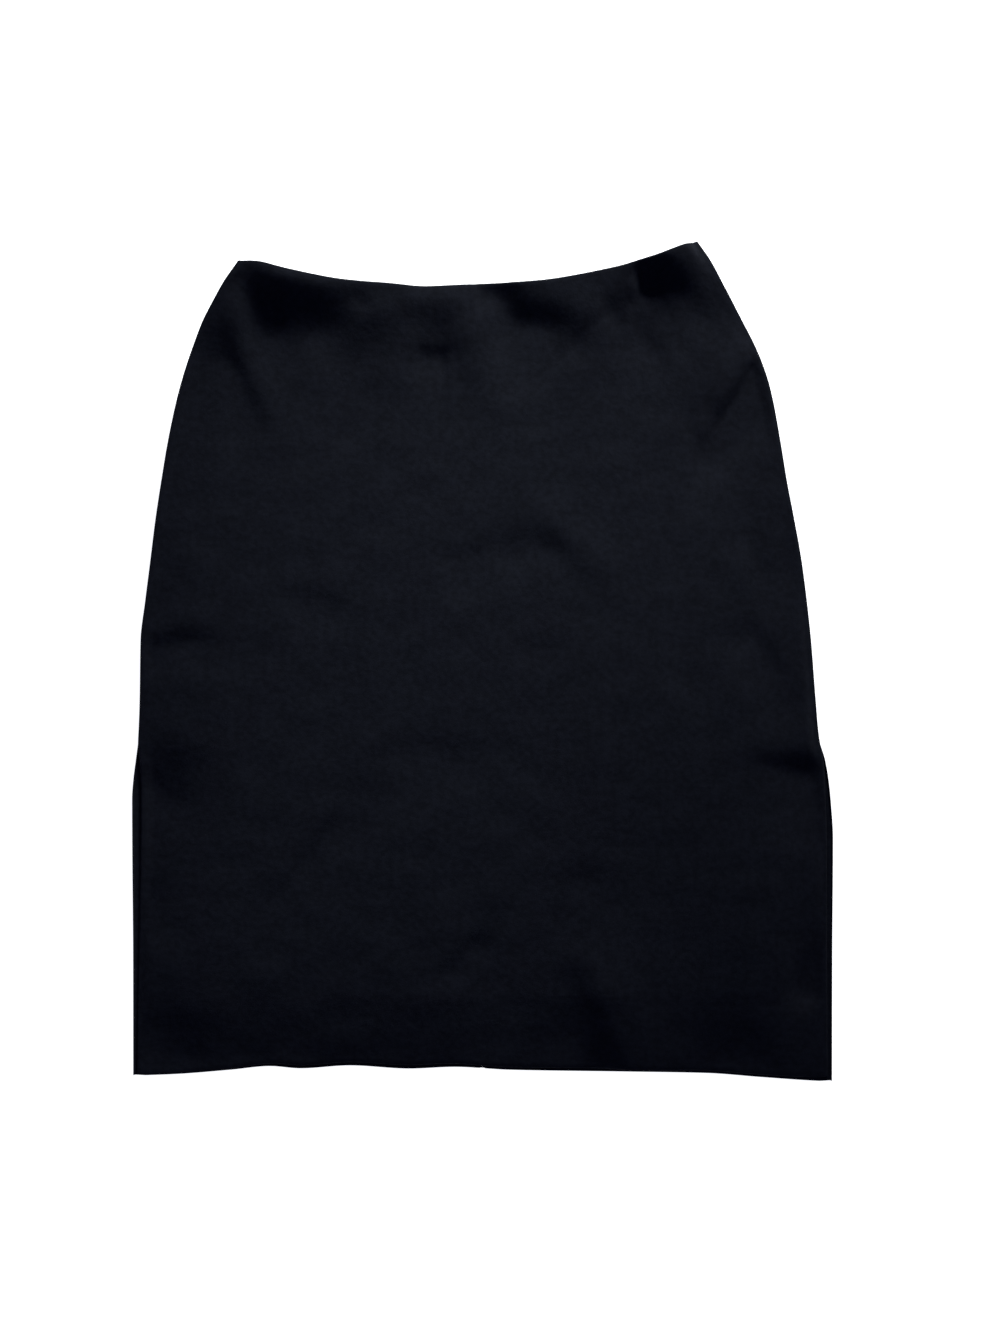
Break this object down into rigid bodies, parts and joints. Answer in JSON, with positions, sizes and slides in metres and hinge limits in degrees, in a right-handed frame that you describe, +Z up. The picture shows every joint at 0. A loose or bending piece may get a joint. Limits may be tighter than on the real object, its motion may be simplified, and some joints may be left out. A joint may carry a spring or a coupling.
{
  "type": "pencil skirt laid flat",
  "caption": "Knee-length pencil skirt lying flat, with a dipped waist edge, slits at the side seams and a concealed zip down the back.",
  "frame": {"origin": "middle of the garment's box, on the surface that it lies on", "axes": "+Z up, out of the front panel; +Y from hem to waist; +X to the wearer's left side, on the right seen from above"},
  "size_m": [0.5274, 0.6306, 0.0145],
  "materials": {
    "skirt_cloth": "matt smooth suiting",
    "zip_tape": "woven tape",
    "zip_lacquer": "satin lacquer"
  },
  "bodies": {
    "skirt": {"front_panel": "skirt_cloth", "back_left": "skirt_cloth", "back_right": "skirt_cloth", "zip_tape_left": "zip_tape", "zip_tape_right": "zip_tape", "zip_slider": "zip_lacquer"},
    "zip_pull": {"zip_pull": "zip_lacquer"}
  },
  "joints": [
    {"name": "pull_swing", "type": "hinge", "parent": "skirt", "child": "zip_pull", "pos_m": [-0.01085, 0.2725, 0.0012], "axis": [1, 0, 0], "range_deg": [0, 165]}
  ]
}
